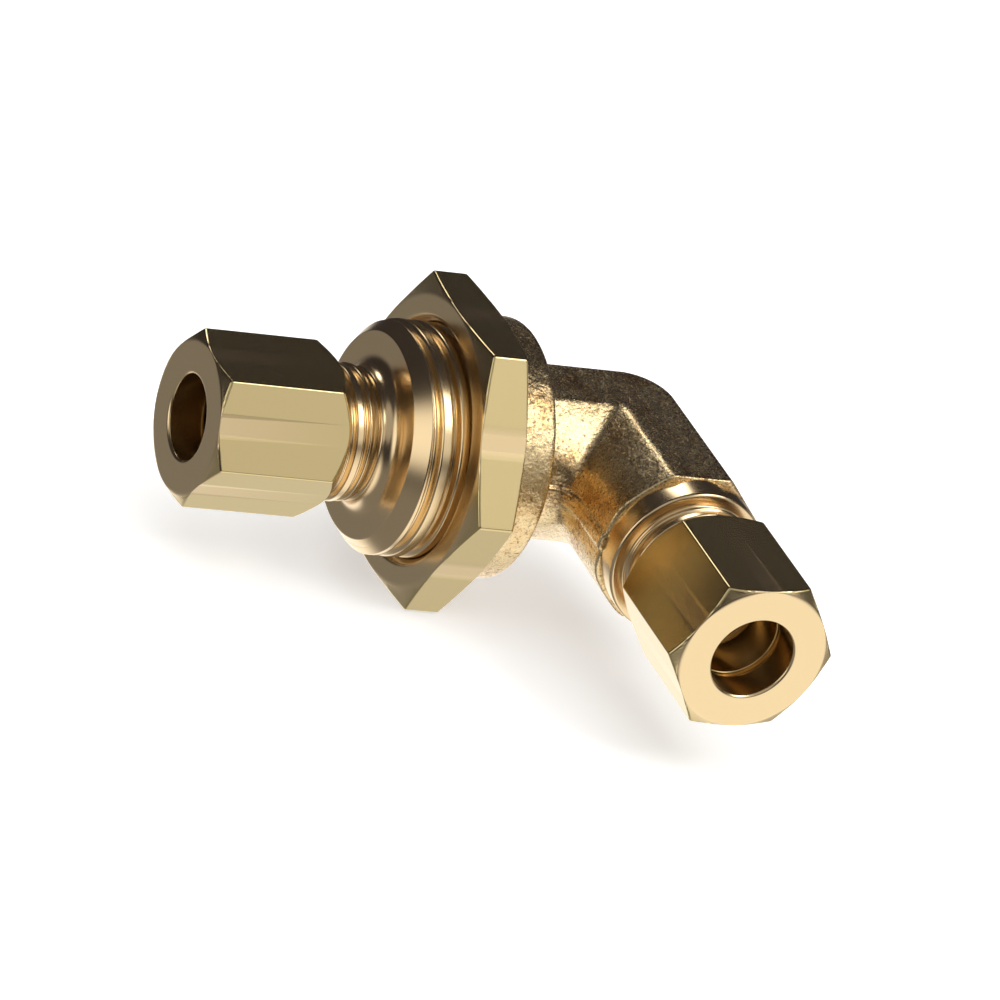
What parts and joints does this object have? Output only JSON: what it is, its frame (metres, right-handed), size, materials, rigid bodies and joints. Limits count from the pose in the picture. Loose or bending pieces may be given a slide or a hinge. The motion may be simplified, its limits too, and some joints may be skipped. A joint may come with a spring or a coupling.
{
  "type": "bulkhead compression elbow",
  "caption": "Right-angle bulkhead tube fitting: flanged elbow body with a threaded stem and locknut, and a tube nut with a ferrule on each leg.",
  "frame": {"origin": "on the bulkhead thread's axis, in the plane of the locknut's outer face", "axes": "-X out of the bulkhead leg, -Y out of the outlet leg, +Z square to the plane of the two legs"},
  "size_m": [0.0404, 0.0387, 0.0212],
  "materials": {
    "forged_brass": "forged and turned",
    "bar_brass": "machined from drawn bar",
    "ferrule_brass": "turned"
  },
  "bodies": {
    "body": {"elbow_body": "forged_brass"},
    "locknut": {"bulkhead_locknut": "bar_brass"},
    "ferrule_a": {"ferrule_a": "ferrule_brass"},
    "nut_a": {"tube_nut_a": "bar_brass"},
    "ferrule_b": {"ferrule_b": "ferrule_brass"},
    "nut_b": {"tube_nut_b": "bar_brass"}
  },
  "joints": [
    {"name": "locknut_travel", "type": "slide", "parent": "body", "child": "locknut", "axis": [-1, 0, 0], "range_m": [0, 0.0072]},
    {"name": "ferrule_a_slide", "type": "slide", "parent": "body", "child": "ferrule_a", "axis": [-1, 0, 0], "range_m": [0, 0.00401]},
    {"name": "nut_a_turn", "type": "hinge", "parent": "ferrule_a", "child": "nut_a", "pos_m": [-0.01, 0, 0], "axis": [-1, 0, 0], "range_deg": [0, 1440]},
    {"name": "ferrule_b_slide", "type": "slide", "parent": "body", "child": "ferrule_b", "axis": [0, -1, 0], "range_m": [0, 0.00401]},
    {"name": "nut_b_turn", "type": "hinge", "parent": "ferrule_b", "child": "nut_b", "pos_m": [0.01622, -0.02, 0], "axis": [0, -1, 0], "range_deg": [0, 1440]}
  ],
  "couplings": [
    {"joint": "ferrule_a_slide", "follows": "nut_a_turn", "m_per_rad": 0.00015915},
    {"joint": "ferrule_b_slide", "follows": "nut_b_turn", "m_per_rad": 0.00015915}
  ]
}
